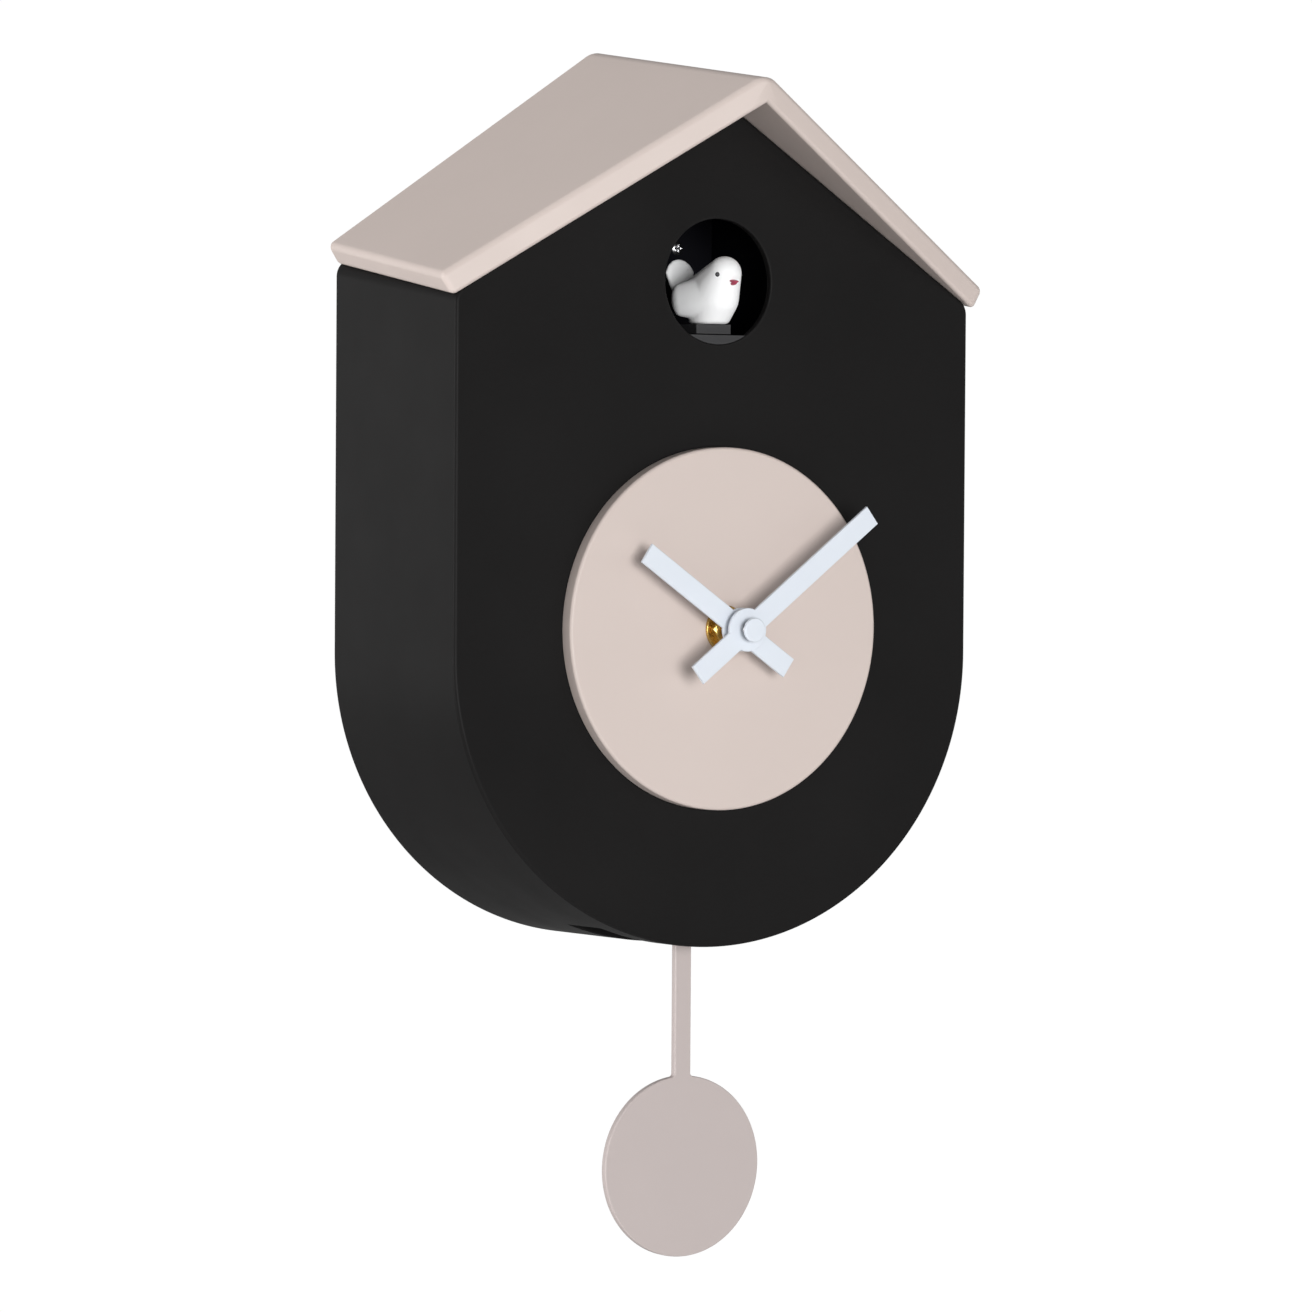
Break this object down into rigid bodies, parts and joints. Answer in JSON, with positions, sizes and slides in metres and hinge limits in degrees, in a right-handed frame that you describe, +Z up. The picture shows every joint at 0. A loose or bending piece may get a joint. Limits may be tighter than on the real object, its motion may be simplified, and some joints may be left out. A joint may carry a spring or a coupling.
{
  "type": "cuckoo clock",
  "caption": "Wall-hung quartz cuckoo clock with an arched case, tilted gable roof, round dial, bird on a slide behind a round window, and a swinging pendulum.",
  "frame": {"origin": "centre of the keyhole in the hanger plate, on the plane that meets the wall", "axes": "+Z up; +Y out of the back into the wall; the dial faces -Y; +X to the right of a person facing the dial"},
  "size_m": [0.216, 0.1105, 0.4188],
  "materials": {
    "case_black": "satin moulded ABS",
    "roof_sand": "matte moulded, warm sand grey",
    "dial_sand": "matte moulded, warm sand grey",
    "pendulum_sand": "matte moulded, warm sand grey",
    "hand_white": "semi-gloss white paint on stamped metal",
    "brass": "turned brass",
    "steel": "zinc-plated steel",
    "back_black": "matte moulded",
    "inner_grey": "matte moulded",
    "gear_white": "acetal",
    "cell_wrap": "plain printed sleeve, no text",
    "board_green": "solder mask",
    "magnet": "ferrite",
    "cone": "paper cone",
    "rubber": "rubber",
    "copper": "enamelled copper wire",
    "bird_white": "soft matte white",
    "beak_red": "painted, rose red",
    "eye_black": "gloss black bead",
    "chamber_black": "matte black",
    "floor_grey": "satin"
  },
  "bodies": {
    "case": {"case_shell": "case_black", "roof": "roof_sand", "case_screws": "steel", "dial_disc": "dial_sand", "back_cover": "back_black", "hanger_plate": "steel", "hanger_screws": "steel", "battery_1": "cell_wrap", "battery_2": "cell_wrap", "battery_3": "cell_wrap", "contact_springs": "steel", "contact_plates": "steel", "speaker_basket": "steel", "speaker_cone": "cone", "speaker_magnet": "magnet", "main_board": "board_green", "volume_pot": "inner_grey", "switch_body": "inner_grey", "chime_switch": "inner_grey", "movement_case": "inner_grey", "movement_cover": "inner_grey", "movement_gasket": "rubber", "threaded_bush": "brass", "dial_washer": "brass", "hex_nut": "brass", "stator": "steel", "stepper_coil": "copper", "pendulum_bracket": "inner_grey", "pendulum_pin": "steel", "coil_board": "board_green", "bird_chamber": "chamber_black", "chamber_floor": "floor_grey", "chamber_screws": "steel", "guide_rods": "steel", "drive_frame": "inner_grey", "bird_motor": "steel"},
    "battery_door": {"battery_door": "back_black"},
    "volume_knob": {"volume_knob": "inner_grey"},
    "mode_slider": {"mode_slider": "inner_grey"},
    "chime_button": {"chime_button": "inner_grey"},
    "minute": {"minute_arbor": "steel", "minute_hand": "hand_white", "cap_nut": "hand_white"},
    "hour": {"hour_wheel": "gear_white", "hour_hand": "hand_white"},
    "motion": {"motion_wheel": "gear_white"},
    "third": {"third_wheel": "gear_white"},
    "fourth": {"fourth_wheel": "gear_white"},
    "rotor": {"rotor": "magnet"},
    "setter": {"set_shaft": "gear_white", "set_knob": "inner_grey"},
    "pendulum": {"pendulum_hanger": "inner_grey", "pendulum_blade": "pendulum_sand", "drive_magnet": "magnet"},
    "bird": {"bird_body": "bird_white", "bird_beak": "beak_red", "bird_eyes": "eye_black", "bird_carriage": "floor_grey"},
    "rack_gear": {"rack_gear": "gear_white"},
    "motor_pinion": {"motor_pinion": "gear_white"}
  },
  "joints": [
    {"name": "minute_spin", "type": "hinge", "parent": "case", "child": "minute", "pos_m": [0, -0.0805, -0.1507], "axis": [0, 1, 0], "continuous": true},
    {"name": "hour_spin", "type": "hinge", "parent": "case", "child": "hour", "pos_m": [0, -0.0805, -0.1507], "axis": [0, 1, 0], "continuous": true},
    {"name": "motion_spin", "type": "hinge", "parent": "case", "child": "motion", "pos_m": [0, -0.0735, -0.1387], "axis": [0, 1, 0], "continuous": true},
    {"name": "third_spin", "type": "hinge", "parent": "case", "child": "third", "pos_m": [-0.00955, -0.0705, -0.16025], "axis": [0, 1, 0], "continuous": true},
    {"name": "fourth_spin", "type": "hinge", "parent": "case", "child": "fourth", "pos_m": [-0.00071, -0.0675, -0.16535], "axis": [0, 1, 0], "continuous": true},
    {"name": "set_spin", "type": "hinge", "parent": "case", "child": "setter", "pos_m": [0.00952, -0.0405, -0.1314], "axis": [0, 1, 0], "continuous": true},
    {"name": "rotor_spin", "type": "hinge", "parent": "case", "child": "rotor", "pos_m": [0.015, -0.0705, -0.1657], "axis": [0, 1, 0], "continuous": true},
    {"name": "pendulum_swing", "type": "hinge", "parent": "case", "child": "pendulum", "pos_m": [0, -0.06, -0.187], "axis": [0, 1, 0], "range_deg": [-10, 10]},
    {"name": "bird_slide", "type": "slide", "parent": "case", "child": "bird", "axis": [0, -1, 0], "range_m": [-0.02, 0.004]},
    {"name": "rack_gear_spin", "type": "hinge", "parent": "case", "child": "rack_gear", "pos_m": [0, -0.0485, -0.0728], "axis": [1, 0, 0], "range_deg": [-115, 23]},
    {"name": "motor_spin", "type": "hinge", "parent": "case", "child": "motor_pinion", "pos_m": [0, -0.0635, -0.0728], "axis": [1, 0, 0], "range_deg": [-46, 230]},
    {"name": "door_hinge", "type": "hinge", "parent": "case", "child": "battery_door", "pos_m": [0, -0.0035, -0.2475], "axis": [-1, 0, 0], "range_deg": [0, 110]},
    {"name": "volume_turn", "type": "hinge", "parent": "case", "child": "volume_knob", "pos_m": [0.06, -0.0035, -0.09], "axis": [0, 1, 0], "range_deg": [-135, 135]},
    {"name": "mode_slide", "type": "slide", "parent": "case", "child": "mode_slider", "axis": [1, 0, 0], "range_m": [-0.004, 0.004]},
    {"name": "chime_press", "type": "slide", "parent": "case", "child": "chime_button", "axis": [0, -1, 0], "range_m": [0, 0.0012], "stiffness_N_per_m": 400}
  ],
  "couplings": [
    {"joint": "hour_spin", "follows": "minute_spin", "ratio": 0.083333},
    {"joint": "motion_spin", "follows": "minute_spin", "ratio": -0.33333},
    {"joint": "third_spin", "follows": "minute_spin", "ratio": -8},
    {"joint": "fourth_spin", "follows": "minute_spin", "ratio": 60},
    {"joint": "set_spin", "follows": "minute_spin", "ratio": 1},
    {"joint": "rack_gear_spin", "follows": "bird_slide", "rad_per_m": 100},
    {"joint": "motor_spin", "follows": "bird_slide", "rad_per_m": -200}
  ]
}
